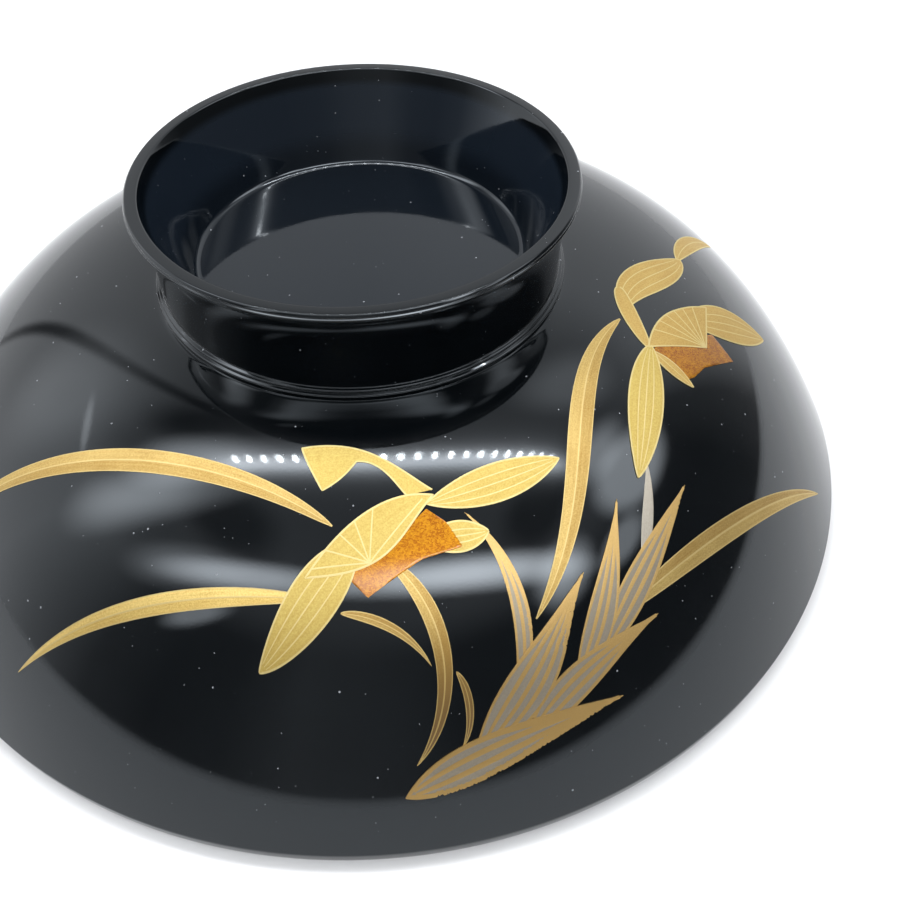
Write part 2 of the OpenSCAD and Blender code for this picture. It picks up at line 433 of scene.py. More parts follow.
def lacquer(name):
    """Mirror-black lacquer with a faint haze, a fine-grained surface, specks and hairs of dust, and a
    painted pale bluish reflection inside the foot.
    """
    material, tree, shader = new_material(
        name, Metallic=0.0, IOR=1.5, Specular_Tint=(0.90, 0.98, 1.04, 1.0),
        Coat_Weight=0.04, Coat_Roughness=0.30, Coat_IOR=1.5)
    place = millimetres(tree)
    cloud = ease(tree, speckle(tree, place, 9.0, 3.0), 0.3, 0.7)
    ground = blend(tree, cloud, (0.0006, 0.0012, 0.0018, 1), (0.0012, 0.0020, 0.0027, 1))
    specks = any_of(
        tree,
        dust(tree, place, 1.5, 0.04, 0.13, 0.3),
        dust(tree, place, 0.9, 0.02, 0.06, 0.3),
        dust(tree, millimetres(tree, (0.12, 1.0, 0.5)), 2.6, 0.02, 0.05, 0.35),
        dust(tree, millimetres(tree, (1.0, 0.12, 0.5)), 2.6, 0.02, 0.05, 0.35))
    # painted reflection: inside the foot the black is made pale and bluish
    ground = blend(tree, inside_foot_sheen(tree, place), ground, (0.0085, 0.0130, 0.0200, 1))
    connect(tree, shader.inputs["Base Color"], blend(tree, specks, ground, (0.22, 0.23, 0.245, 1)))
    polish = ease(tree, speckle(tree, place, 2.5, 3.0), 0.3, 0.7, 0.03, 0.06)
    dull = sums(tree, "MULTIPLY", specks, 0.6)
    connect(tree, shader.inputs["Roughness"], sums(tree, "MAXIMUM", polish, dull))
    bump(tree, shader, speckle(tree, place, 0.3, 1.0), 1.0, 0.0009)
    return material


def turned_wood(name):
    """Pale close-grained wood, with its grain across the dish and fine turning lines."""
    material, tree, shader = new_material(name, Metallic=0.0, IOR=1.45)
    grain = speckle(tree, millimetres(tree, (0.05, 1.0, 0.6)), 1.1, 6.0, 0.6)
    rings = node(tree, "TexWave", {"Vector": millimetres(tree, (0.1, 1.0, 0.4)), "Scale": 0.12,
                                   "Distortion": 5.0, "Detail": 3.0}).outputs[0]
    streaks = sums(tree, "ADD", sums(tree, "MULTIPLY", grain, 0.6), sums(tree, "MULTIPLY", rings, 0.4))
    colour = blend(tree, ease(tree, streaks, 0.25, 0.75), (0.34, 0.20, 0.10, 1), (0.56, 0.38, 0.21, 1))
    connect(tree, shader.inputs["Base Color"], colour)
    connect(tree, shader.inputs["Roughness"], ease(tree, grain, 0.2, 0.8, 0.45, 0.65))
    bump(tree, shader, grain, 0.3, 0.05)
    return material


# Painted shade on the gold towards the front, along Y in mm: where its darkening starts, where its
# browning starts, where both are fullest, and the brown it turns to.
FRONT_SHADE_START = -46.0
BROWN_SHADE_START = -52.0
FRONT_SHADE_END = -64.0
SHADE_BROWN = (0.14, 0.085, 0.06, 1)


def gold(name, bright, deep, grain_mm, roughness, halves, brown=0.0):
    """Powdered metal paint: fine grain, streaks along the stroke, and one half of it deeper.

    It also has painted shade towards the roots of the plant, at the front: darker there, and browner at
    the very front.
    """
    material, tree, shader = new_material(name, Metallic=1.0, IOR=1.5)
    across, along = across_along(tree)
    place = millimetres(tree)
    stroke = node(tree, "CombineXYZ", {0: sums(tree, "MULTIPLY", across, 2.2),
                                       1: sums(tree, "MULTIPLY", along, 0.05)}).outputs[0]
    streaks = sums(tree, "MULTIPLY", speckle(tree, stroke, 0.35, 3.0), 0.45)
    powder = speckle(tree, place, grain_mm, 2.0, 0.7)
    patches = sums(tree, "MULTIPLY", speckle(tree, place, 6.0, 1.0), 0.25)
    half = ease(tree, across, -0.05, 0.05, 0.0, halves)
    # painted shade: the gold is darker and browner towards the front of the dish
    front = node(tree, "SeparateXYZ", {0: place}).outputs[1]
    front_shade = ease(tree, front, FRONT_SHADE_END, FRONT_SHADE_START, 0.7, 0.0)
    tone = sums(tree, "MULTIPLY", powder, 0.75)
    for share in (streaks, patches, half, front_shade):
        tone = sums(tree, "ADD", tone, share)
    colour = blend(tree, ease(tree, tone, 0.4, 1.15), bright, deep)
    brown_shade = ease(tree, front, FRONT_SHADE_END, BROWN_SHADE_START, brown, 0.0)
    connect(tree, shader.inputs["Base Color"], blend(tree, brown_shade, colour, SHADE_BROWN))
    rough = ease(tree, powder, 0.2, 0.8, roughness - 0.06, roughness + 0.08)
    connect(tree, shader.inputs["Roughness"], rough)
    bump(tree, shader, powder, 0.35, 0.02)
    return material


def flakes(name):
    """Fine orange gold flakes, from deep to bright yellow orange."""
    material, tree, shader = new_material(
        name, Metallic=1.0, IOR=1.5, Coat_Weight=0.7, Coat_Roughness=0.10, Coat_IOR=1.5)
    place = millimetres(tree)
    cells = node(tree, "TexVoronoi", {"Vector": place, "Scale": 1 / 0.15}).outputs["Color"]
    pick = node(tree, "SeparateColor", {0: cells}).outputs[0]
    cloud = speckle(tree, place, 1.2, 2.0)
    tone = sums(tree, "ADD", sums(tree, "MULTIPLY", pick, 0.55), sums(tree, "MULTIPLY", cloud, 0.5))
    colour = blend(tree, ease(tree, tone, 0.15, 0.95), (0.26, 0.075, 0.002, 1), (0.52, 0.23, 0.008, 1))
    connect(tree, shader.inputs["Base Color"], colour)
    connect(tree, shader.inputs["Roughness"], ease(tree, pick, 0.0, 1.0, 0.38, 0.52))
    bump(tree, shader, pick, 0.4, 0.02)
    return material


def silver(name, light, dark):
    """Soft grey silver powder with faint streaks along the stroke."""
    material, tree, shader = new_material(name, Metallic=0.9, IOR=1.5)
    across, along = across_along(tree)
    place = millimetres(tree)
    stroke = node(tree, "CombineXYZ", {0: across, 1: sums(tree, "MULTIPLY", along, 0.08)}).outputs[0]
    streaks = speckle(tree, stroke, 0.2, 2.0)
    powder = speckle(tree, place, 0.22, 2.0, 0.7)
    tone = sums(tree, "ADD", sums(tree, "MULTIPLY", streaks, 0.5), sums(tree, "MULTIPLY", powder, 0.5))
    colour = blend(tree, ease(tree, tone, 0.2, 0.8), light, dark)
    connect(tree, shader.inputs["Base Color"], colour)
    connect(tree, shader.inputs["Roughness"], ease(tree, powder, 0.2, 0.8, 0.42, 0.56))
    bump(tree, shader, powder, 0.3, 0.015)
    return material


BLACK = lacquer("black_lacquer_gloss")
WOOD = turned_wood("turned_wood_grain")
LEAF_GOLD = gold("leaf_gold_powder", (0.58, 0.43, 0.16, 1), (0.34, 0.21, 0.06, 1),
                 0.16, 0.48, 0.15, 0.9)
# A lighter copy of the leaf gold, with no brown: a painted highlight of the lamps on the low left leaf.
PAINTED_HIGHLIGHT_LEAF_GOLD = gold("leaf_gold_powder_painted_highlight", (0.80, 0.62, 0.23, 1), (0.50, 0.33, 0.09, 1),
                        0.16, 0.48, 0.15)
LEAF_LINE = gold("leaf_gold_line", (0.63, 0.50, 0.23, 1), (0.52, 0.37, 0.14, 1), 0.12, 0.48, 0.0)
PETAL_GOLD = gold("petal_gold_powder", (0.585, 0.46, 0.15, 1), (0.465, 0.325, 0.085, 1), 0.20, 0.56, 0.0)
OCHRE_GOLD = gold("ochre_petal_gold_powder", (0.575, 0.42, 0.15, 1), (0.45, 0.285, 0.085, 1),
                  0.20, 0.56, 0.0)
PALE_LINE = gold("pale_gold_line", (0.66, 0.56, 0.27, 1), (0.60, 0.48, 0.22, 1), 0.12, 0.54, 0.0)
BLADE_LINE = gold("blade_gold_line", (0.60, 0.41, 0.16, 1), (0.46, 0.30, 0.11, 1), 0.12, 0.48, 0.0)
ORANGE = flakes("orange_gold_flakes")
SILVER = silver("silver_powder", (0.33, 0.29, 0.225, 1), (0.275, 0.24, 0.185, 1))
PALE_SILVER = silver("pale_silver_powder", (0.46, 0.42, 0.35, 1), (0.38, 0.345, 0.285, 1))


# ---------------------------------------------------------------- the dish
def make_dish():
    """The wooden dome and ring, and the black coats that wrap them."""
    boss = [(0.0, BOSS_Z), (BOSS_R, BOSS_Z), (BOSS_R, SEAT_Z)]
    rim_mid = MOUTH_R + COAT
    bare_dome = dome_line(SEAT_R, COAT)

    core = Solid()
    core.turn(boss + bare_dome + roll_line(COAT) + hollow_line(COAT, COAT))
    settle(core.make("turned_dome", [WOOD], SHARP_WOOD), "turned_wood", "dome_core")

    ring = Solid()
    ring.turn(bare_foot() + [(BOSS_R, SEAT_Z), (BOSS_R, BOSS_Z)], closed=True)
    settle(ring.make("turned_foot_ring", [WOOD], SHARP_WOOD), "turned_wood", "foot_ring")

    outer = Solid()
    foot = well_floor() + cove_line() + cone_line() + foot_outside()
    outside = foot + dome_line(MEET_R) + roll_line() + [(rim_mid, 0.0)]
    inside = [(0.0, BOSS_Z)] + bare_foot()[:-1] + bare_dome + roll_line(COAT) + [(rim_mid, COAT)]
    outer.turn(outside + inside[::-1])
    settle(outer.make("outer_coat", [BLACK]), "black_lacquer", "outer_lacquer")

    inner = Solid()
    lip = [(rim_mid, 0.0), (MOUTH_R + 0.15, 0.03), (MOUTH_R + 0.04, 0.12), (MOUTH_R, 0.3)]
    inner.turn(lip + hollow_line(0.0, 0.6) + hollow_line(COAT, COAT)[::-1] + [(rim_mid, 0.0)])
    settle(inner.make("hollow_coat", [BLACK]), "black_lacquer", "inner_lacquer")


# ---------------------------------------------------------------- painting: outlines in plan
def along_edge(edge, t):
    """A point on an edge made of one or more curves, which share t equally."""
    number = min(int(t * len(edge)), len(edge) - 1)
    return bezier(edge[number], t * len(edge) - number)


def between(edge_a, edge_b):
    """A shape whose point at (t, s) lies from edge_a, at s -1, to edge_b, at s 1."""
    def at(t, s):
        return along_edge(edge_a, t).lerp(along_edge(edge_b, t), (s + 1) / 2)
    return at


def leaf(spine, width, peak=0.5, fullness=0.8):
    """A shape round a curved spine. peak is where it is widest, and fullness rounds its ends."""
    power = math.log(0.5) / math.log(peak)

    def at(t, s):
        slope = bezier(spine, min(t + 0.01, 1.0)) - bezier(spine, max(t - 0.01, 0.0))
        square = Vector((-slope.y, slope.x)).normalized()
        half = width / 2 * max(math.sin(math.pi * t ** power), 0.0) ** fullness
        return bezier(spine, t) + square * half * s
    return at


def straight(start, end):
    """The control points of a straight edge."""
    return [start, Vector(start).lerp(Vector(end), 1 / 3), Vector(start).lerp(Vector(end), 2 / 3), end]


def spear(base, tip, bend_a, bend_b):
    """A pointed shape from base to tip. Each edge has two control points of its own."""
    return between([[base, *bend_a, tip]], [[base, *bend_b, tip]])


NICK = 0.2
NICKS_ALONG = 150.0


def torn(shape, side, start, end):
    """The same shape with dry-brush nicks in its edge on one side, between start and end."""
    def at(t, s):
        point = shape(t, s)
        if s * side <= 0 or not start < t < end:
            return point
        middle = shape(t, 0.0)
        reach = max((point - middle).length, 0.05)
        depth = NICK * max(noise.noise(Vector((t * NICKS_ALONG, start, end))), 0.0) * 2
        return middle.lerp(point, max(1 - depth * abs(s) / reach, 0.3))
    return at


# ---------------------------------------------------------------- painting: films and lines
SUNK = -0.04
LAYER_STEP = 0.018
FIRST_LAYER = 0.028
LINE_RISE = 0.011
ACROSS = [-1.0, -0.97, -0.85, -0.6, -0.3, 0.0, 0.3, 0.6, 0.85, 0.97, 1.0]
TIP = 0.004
PETAL_STEPS = 44
LEAF_STEPS = 56
BLADE_STEPS = 200
TIP_GOLD = 2.5
SHARP_PAINT = 30


def half_width(shape, t):
    """Half of the shape's width at t along it."""
    return (shape(t, 1.0) - shape(t, -1.0)).length / 2


def film_rings(shape, top, steps):
    """Rings of a film, each its top from edge to edge and its underside back."""
    rings = []
    length = 0.0
    before = shape(TIP, 0.0)
    for i in range(steps + 1):
        t = TIP + (1 - 2 * TIP) * i / steps
        length += (shape(t, 0.0) - before).length
        before = shape(t, 0.0)
        upper = []
        lower = []
        for s in ACROSS:
            x, y = shape(t, s)
            edge = 0.75 if abs(s) == 1 else 1.0
            upper.append((on_dome(x, y, top * edge), (s, length)))
            lower.append((on_dome(x, y, SUNK), (s, length)))
        rings.append(upper + lower[::-1])
    return rings


def line_rings(points, widths, top):
    """Rings of a raised line through points in plan."""
    rings = []
    length = 0.0
    for i, point in enumerate(points):
        ahead = points[min(i + 1, len(points) - 1)]
        behind = points[max(i - 1, 0)]
        square = Vector((behind.y - ahead.y, ahead.x - behind.x)).normalized()
        length += (point - behind).length
        half = max(widths[i] / 2, 0.01)
        ring = []
        for reach, height in ((-1, SUNK), (-1, top - 0.4 * LINE_RISE), (-0.6, top), (0.6, top),
                              (1, top - 0.4 * LINE_RISE), (1, SUNK)):
            x, y = point + square * half * reach
            ring.append((on_dome(x, y, height), (reach, length)))
        rings.append(ring)
    return rings


def edge_line(shape, side, width, steps=PETAL_STEPS, grow=0.0):
    """The line just inside the edge on one side, and its widths. It follows the edge's nicks.

    It grows wider towards the tip by a share of grow.
    """
    points = []
    widths = []
    for i in range(steps + 1):
        t = TIP + (1 - 2 * TIP) * i / steps
        half = max(half_width(shape, t), 0.001)
        wide = width * (1 + grow * t ** 3)
        inner = shape(t, 0.0).lerp(shape(t, side), max(1 - wide / half, 0.05))
        points.append(inner.lerp(shape(t, side), 0.5))
        widths.append((shape(t, side) - inner).length)
    return points, widths


def vein_line(shape, start, end, width, steps=30):
    """A line from (t, s) start to (t, s) end inside a shape, thinner at both ends."""
    points = []
    widths = []
    for i in range(steps + 1):
        u = i / steps
        t = start[0] + (end[0] - start[0]) * u
        s = start[1] + (end[1] - start[1]) * u
        points.append(shape(t, s))
        widths.append(width * (0.35 + 0.65 * math.sin(math.pi * min(max(u, 0.02), 0.98)) ** 0.5))
    return points, widths


def fan_line(shape, hub, end, width, steps=10):
    """A straight line across a shape, from its hub to a point on its edge."""
    start = shape(*hub)
    stop = shape(*end)
    points = [start.lerp(stop, i / steps) for i in range(steps + 1)]
    return points, [width] * (steps + 1)


def paint(name, cad_node, slot, shape, layer, finishes, lines, steps=PETAL_STEPS):
    """One painted piece: a film on the dome, with its raised lines."""
    top = FIRST_LAYER + LAYER_STEP * layer
    made = Solid()
    made.tube(film_rings(shape, top, steps), 0)
    for points, widths in lines:
        made.tube(line_rings(points, widths, top + LINE_RISE), 1)
    settle(made.make(name, finishes, SHARP_PAINT), slot, cad_node)


def paint_leaf(name, cad_node, shape, layer, edge=0.1, rib=0.17, powder=LEAF_GOLD):
    """A gold leaf with thin pale edges and a pale midrib."""
    lines = [edge_line(shape, side, edge) for side in (-1, 1)]
    lines.append(vein_line(shape, (0.03, 0.0), (0.97, 0.0), rib))
    paint(name, cad_node, "gold_leaf", shape, layer, [powder, LEAF_LINE], lines, LEAF_STEPS)


def paint_petal(name, cad_node, shape, layer, veins, edge=0.18, vein=0.13, powder=PETAL_GOLD):
    """A petal with pale outlines, and veins at the given places across it."""
    lines = [edge_line(shape, side, edge) for side in (-1, 1)]
    lines += [vein_line(shape, (0.04, s), (0.94, s), vein) for s in veins]
    paint(name, cad_node, "pale_gold", shape, layer, [powder, PALE_LINE], lines)


def paint_hood(name, cad_node, shape, layer, hub, ends, powder=PETAL_GOLD, edge=0.2, vein=0.15):
    """A hood petal with pale outlines and a fan of veins from a hub on its lower edge."""
    lines = [edge_line(shape, side, edge) for side in (-1, 1)]
    lines += [fan_line(shape, hub, end, vein) for end in ends]
    paint(name, cad_node, "pale_gold", shape, layer, [powder, PALE_LINE], lines)


def paint_blade(name, cad_node, shape, layer, veins, edges=(0.22, 0.22), vein=0.4):
    """A silver blade with gold edges, and gold veins that run into its tip."""
    lines = [edge_line(shape, side, edge, BLADE_STEPS, TIP_GOLD) for side, edge in zip((-1, 1), edges)]
    lines += [vein_line(shape, (start, s), (0.98, s), vein) for start, s in veins]
    paint(name, cad_node, "silver_leaf", shape, layer, [SILVER, BLADE_LINE], lines, BLADE_STEPS)


def paint_leaves():
    """The seven gold leaves, from the left to the right."""
    paint_leaf("far_left_leaf", "leaf_far_left",
               leaf([(-5.5, -41.5), (-18, -31), (-36, -25.5), (-54, -25)], 2.7, 0.45, 0.75), 1)
    # Its gold is made lighter, with a painted highlight.
    paint_leaf("low_left_leaf", "leaf_low_left",
               leaf([(-8, -48), (-20, -45.5), (-33, -43.5), (-43, -44.5)], 1.9, 0.4, 0.8), 1,
               powder=PAINTED_HIGHLIGHT_LEAF_GOLD)
    paint_leaf("short_left_leaf", "leaf_short_left",
               leaf([(-5.5, -49.5), (-2.5, -50), (1.5, -51.5), (3.5, -54.5)], 0.9, 0.4, 0.7), 0, 0.1, 0.1)
    paint_leaf("middle_leaf", "leaf_middle",
               leaf([(-0.5, -45), (5.5, -49.5), (7, -57.5), (1, -61.5)], 1.9, 0.4, 0.8), 1)
    paint_leaf("short_middle_leaf", "leaf_short_middle",
               leaf([(6, -55), (7.5, -56.5), (7.5, -59), (6, -60.5)], 0.9, 0.4, 0.8), 0, 0.1, 0.1)
    paint_leaf("tall_leaf", "leaf_tall",
               leaf([(31.5, -14), (21, -24), (24.5, -40), (15, -51)], 2.8, 0.45, 0.7), 1)
    paint_leaf("right_leaf", "leaf_right",
               leaf([(24.5, -50), (37, -41.5), (48, -33.5), (58.5, -26.5)], 2.1, 0.4, 0.7), 0)


def paint_left_flower():
    """The left flower's six parts, the lowest layers first."""
    bract = between(
        [[(5.5, -38.5), (2, -36), (-1, -31.5), (-8.5, -32)],
         [(-8.5, -32), (-8.3, -33), (-8, -34), (-6.5, -37.5)]],
        [[(2.5, -39), (1, -37), (0, -34.5), (-2.5, -34.5)],
         [(-2.5, -34.5), (-3, -35), (-4, -36.5), (-6.5, -37.5)]])
    hood = spear((5.5, -39), (-9, -46), ((1, -38), (-4, -40.5)), ((1, -43.5), (0.5, -47)))
    side = leaf([(4.5, -40), (9.5, -39), (15.5, -37), (20, -35)], 4.3, 0.5, 0.8)
    low = leaf([(-3.5, -43.5), (-7, -46.5), (-11, -51), (-14.5, -53)], 5.2, 0.4, 0.75)
    small = leaf([(3, -44), (6, -43.5), (8.5, -43.5), (11, -43)], 3.2, 0.55, 0.7)
    lip = between(
        [straight((4.5, -40.5), (2, -42.5)), straight((2, -42.5), (0, -44)),
         straight((0, -44), (-4.5, -45)), straight((-4.5, -45), (-4, -47)),
         straight((-4, -47), (-2.6, -48.4))],
        [straight((4.5, -40.5), (6.5, -42)), straight((6.5, -42), (8, -44.5)),
         straight((8, -44.5), (3.5, -45.5)), straight((3.5, -45.5), (0.5, -47)),
         straight((0.5, -47), (-2.5, -48.5))])
    paint_petal("left_flower_bract", "left_bract", bract, 1, [])
    paint_petal("left_flower_small_petal", "left_small_petal", small, 1, [-0.4, 0.0, 0.4])
    paint("left_flower_lip", "left_lip", "orange_gold", lip, 2, [ORANGE, PALE_LINE], [])
    paint_petal("left_flower_low_petal", "left_low_petal", low, 3, [-0.45, 0.0, 0.45])
    paint_petal("left_flower_side_petal", "left_side_petal", side, 3, [-0.5, -0.05, 0.4])
    fan = [(0.95, -0.9), (0.84, -0.93), (0.73, -0.93), (0.62, -0.93), (0.48, -0.93), (0.1, -0.2)]
    paint_hood("left_flower_hood", "left_hood", hood, 4, (0.66, 0.9), fan)


def paint_right_flower():
    """The right flower's eight parts."""
    bud = leaf([(32.5, -12), (34, -5.5), (40, -4.5), (43.5, 1)], 5.2, 0.5, 0.6)
    far = leaf([(43, 0.5), (44.5, 4.5), (48, 9.5), (53, 14)], 2.8, 0.5, 0.7)
    stem = leaf([(32.5, -8), (32.5, -11.5), (33, -14.5), (34.2, -18.5)], 2.3, 0.45, 0.4)
    hood = between(
        [[(34, -18.5), (35, -15.5), (36.5, -13), (39, -11.2)],
         [(39, -11.2), (41, -9.8), (43, -8.8), (44.8, -8.3)]],
        [straight((34, -18.5), (42.6, -16.3)), straight((42.6, -16.3), (44.8, -8.3))])
    side = leaf([(40, -12.5), (45, -10.8), (50, -9), (54.2, -8)], 6.0, 0.5, 0.8)
    low = leaf([(34.5, -18), (32.5, -24), (31, -31), (29, -36.5)], 4.4, 0.45, 0.75)
    small = leaf([(34.4, -18.9), (35.8, -20.3), (37.2, -21.8), (39, -23.3)], 1.9, 0.5, 0.7)
    lip = between(
        [straight((34.7, -18.9), (35.5, -17.3)), straight((35.5, -17.3), (40, -15.5)),
         straight((40, -15.5), (44.2, -13.4)), straight((44.2, -13.4), (46.4, -16.7))],
        [straight((34.7, -18.9), (38.3, -22.4)), straight((38.3, -22.4), (39.6, -21.6)),
         straight((39.6, -21.6), (41.4, -19.7)), straight((41.4, -19.7), (46.4, -16.7))])
    paint_petal("right_flower_far_petal", "right_far_petal", far, 0, [0.0], powder=OCHRE_GOLD)
    paint_petal("right_flower_bud", "right_bud", bud, 1, [-0.5, 0.0, 0.5], powder=OCHRE_GOLD)
    paint_petal("right_flower_stem", "right_stem", stem, 2, [], powder=OCHRE_GOLD)
    paint_petal("right_flower_small_petal", "right_small_petal", small, 4, [0.0], 0.14, 0.1, OCHRE_GOLD)
    paint_petal("right_flower_side_petal", "right_side_petal", side, 2, [-0.45, 0.0, 0.45],
                powder=OCHRE_GOLD)
    paint("right_flower_lip", "right_lip", "orange_gold", lip, 3, [ORANGE, PALE_LINE], [])
    fan = [(0.2, -0.9), (0.32, -0.93), (0.42, -0.93), (0.52, -0.93), (0.64, -0.93), (0.78, -0.93)]
    paint_hood("right_flower_hood", "right_hood", hood, 5, (0.495, 0.96), fan, OCHRE_GOLD)
    paint_petal("right_flower_low_petal", "right_low_petal", low, 5, [-0.4, 0.0, 0.4])


def paint_blades():
    """The seven silver blades, the lowest layers first."""
    bottom = spear((-0.5, -63.5), (24.5, -56), ((4, -59.5), (14, -59)), ((7, -64.5), (16.5, -59.5)))
    left = spear((7, -61.5), (21, -46.5), ((9.5, -55.5), (15, -53.5)), ((19.5, -57.5), (17.5, -52)))
    slim = spear((12, -57.5), (8.5, -41), ((13, -54), (13.5, -46.5)), ((16.5, -53.5), (15, -46)))
    low_right = spear((12.5, -60.5), (29.5, -49), ((16, -54), (23, -52.5)), ((20.5, -57.5), (24.5, -52.5)))
    centre = spear((19, -55.5), (26, -39), ((19.5, -51.5), (24, -45)), ((26, -52), (25, -45.5)))
    right = spear((21.5, -54), (35, -36), ((24, -47), (29.5, -42.5)), ((29, -49.5), (31.5, -42.5)))
    plain = spear((28, -46), (30.5, -34), ((28, -42), (29.5, -38.5)), ((30, -42.5), (31, -38.5)))
    paint("plain_blade", "blade_plain", "silver_leaf", plain, 0, [PALE_SILVER, BLADE_LINE], [])
    paint_blade("slim_blade", "blade_slim", torn(slim, 1, 0.2, 0.45), 0, [(0.1, 0.0)], (0.22, 0.3))
    paint_blade("right_blade", "blade_right", torn(right, 1, 0.85, 0.97), 1, [(0.1, -0.35), (0.1, 0.3)])
    paint_blade("centre_blade", "blade_centre", centre, 2, [(0.1, -0.3), (0.1, 0.25)])
    paint_blade("low_right_blade", "blade_low_right", low_right, 3, [(0.1, -0.3), (0.1, 0.3)])
    paint_blade("left_blade", "blade_left", torn(left, 1, 0.6, 0.85), 4,
                [(0.06, -0.45), (0.06, 0.05), (0.06, 0.5)])
    paint_blade("bottom_blade", "blade_bottom", torn(bottom, 1, 0.15, 0.98), 5,
                [(0.06, -0.3), (0.06, 0.3)], (0.3, 0.3))


# ---------------------------------------------------------------- studio
# The camera, in metres and degrees. The lens is for a square picture on a 36 mm sensor.
CAMERA_PLACE = (0.0, -0.11287, 0.11415)
CAMERA_LENS = 40.72
CAMERA_SENSOR = 36.0
CAMERA_TURN = -6.565
CAMERA_TILT = 42.72
CAMERA_ROLL = -0.22

# The floor sheet, in metres: half its width, and its gap under the rim
FLOOR_REACH = 3.0
FLOOR_DROP = 0.00005

# How bright the walls round the dish are, by azimuth from +Y towards +X
WALLS = [(-180, 0.27), (-158, 0.36), (-143, 0.17), (-128, 0.13), (-113, 0.24), (-98, 0.8), (-83, 1.45),
         (-68, 1.35), (-53, 1.15), (-38, 1.0), (-20, 0.85), (0, 0.8), (22, 1.1), (45, 1.2), (58, 0.9),
         (66, 0.25), (80, 0.1), (110, 0.1), (140, 0.1), (165, 0.15), (180, 0.27)]
BRIGHTEST_WALL = 1.5

# The walls turn into the ceiling between two heights, in degrees. A bright haze lies along the
# floor up to HORIZON, which is the sine of a height.
CEILING = 0.5
CEILING_FROM = 36
CEILING_TO = 52
HORIZON = 0.055
HORIZON_LEVEL = 1.1
DARKEST = 0.05

# A row of small lamps on a bent line, and the glow of its fitting. The line is on a ceiling 1 unit
# up, and the lamps are LED_HEIGHT metres up.
LED_COUNT = 22
LED_HEIGHT = 1.3
LED_WIDE = 0.016
LED_LONG = 0.055
LED_LEVEL = 60.0
ROW_MIDDLE = 0.07
ROW_HALF = 0.43
ROW_V = 0.287
ROW_SLOPE = 0.16
ROW_BEND = 0.27
GLOW_WIDTH = 0.07
GLOW_LEVEL = 11.0

# Soft patches of light and shade in the room: middle and half size in degrees away from straight
# up, along X and Y, then turn in degrees, softness and brightness
PATCHES = [
    (14, -26.5, 19, 4.5, 0, 0.9, 12.0),
    (-26, -21, 14, 4, -20, 0.8, 7.0),
    (-39, -15, 9, 5, -15, 0.9, 2.4),
    (37, -29, 5, 8, 0, 0.8, 6.0),
    (-40, 7.5, 14, 5.5, 12, 0.9, 4.4),
    (-27, 17, 10, 4.5, 20, 0.8, 4.5),
    (-44, 27, 7, 0.8, 56, 0.6, 2.0),
    (-46, 36, 17, 9, 10, 0.7, 0.9),
    (-42, -30, 7, 2.8, 0, 0.6, 3.0),
    (46, 2, 8, 12, 0, 0.35, 4.0),
    (36, 8, 4, 7, 0, 0.8, 3.5),
    (50, -19, 4, 8, -12, 0.5, 3.0),
    (25, 29, 8, 5, -30, 0.7, 1.0),
    (-43, 50, 26, 1.6, -36, 0.7, -0.9),
    (-25, -1, 7, 13, 0, 0.5, -0.35),
    (27, -8, 6, 13, 0, 0.5, -0.35),
    (-20, 27, 9, 5, 0, 0.6, -0.45),
]


def make_camera():
    """The camera, in front of the dish and above it, looking down at it."""
    camera = bpy.data.cameras.new("camera")
    camera.lens = CAMERA_LENS
    camera.sensor_width = CAMERA_SENSOR
    camera.clip_start = 0.01
    camera.clip_end = 20.0
    made = bpy.data.objects.new("camera", camera)
    made.location = CAMERA_PLACE
    turn = Euler((0, 0, math.radians(CAMERA_TURN))).to_matrix()
    tilt = Euler((math.radians(CAMERA_TILT), 0, 0)).to_matrix()
    roll = Euler((0, 0, math.radians(CAMERA_ROLL))).to_matrix()
    made.rotation_euler = (turn @ tilt @ roll).to_euler()
    bpy.context.scene.collection.objects.link(made)
    bpy.context.scene.camera = made


def make_floor():
    """A plain near-white sheet under the dish."""
    reach = FLOOR_REACH
    mesh = bpy.data.meshes.new("floor")
    corners = [(-reach, -reach, -FLOOR_DROP), (reach, -reach, -FLOOR_DROP),
               (reach, reach, -FLOOR_DROP), (-reach, reach, -FLOOR_DROP)]
    mesh.from_pydata(corners, [], [(0, 1, 2, 3)])
    material, tree, shader = new_material("white_sheet", Roughness=0.7, IOR=1.4)
    soft = speckle(tree, millimetres(tree), 30.0, 2.0)
    connect(tree, shader.inputs["Base Color"],
            blend(tree, soft, (0.78, 0.78, 0.78, 1), (0.81, 0.81, 0.81, 1)))
    mesh.materials.append(material)
    floor = bpy.data.objects.new("floor", mesh)
    bpy.context.scene.collection.objects.link(floor)


def patch(tree, place, x, y, long, wide, turn, soft, level):
    """The brightness of one soft patch of the room."""
    local = node(tree, "Mapping", {"Vector": place, "Location": (x, y, 0.0),
                                   "Rotation": (0.0, 0.0, math.radians(turn)),
                                   "Scale": (long, wide, 1.0)}, vector_type="TEXTURE").outputs[0]
    away = node(tree, "VectorMath", {0: local}, operation="LENGTH").outputs["Value"]
    return ease(tree, away, 1 - soft, 1 + soft, level, 0.0)


def lamp_v(u):
    """Where the row of lamps runs on a ceiling 1 unit up: v along Y for u along X."""
    return ROW_V - ROW_SLOPE * u - ROW_BEND * u * u


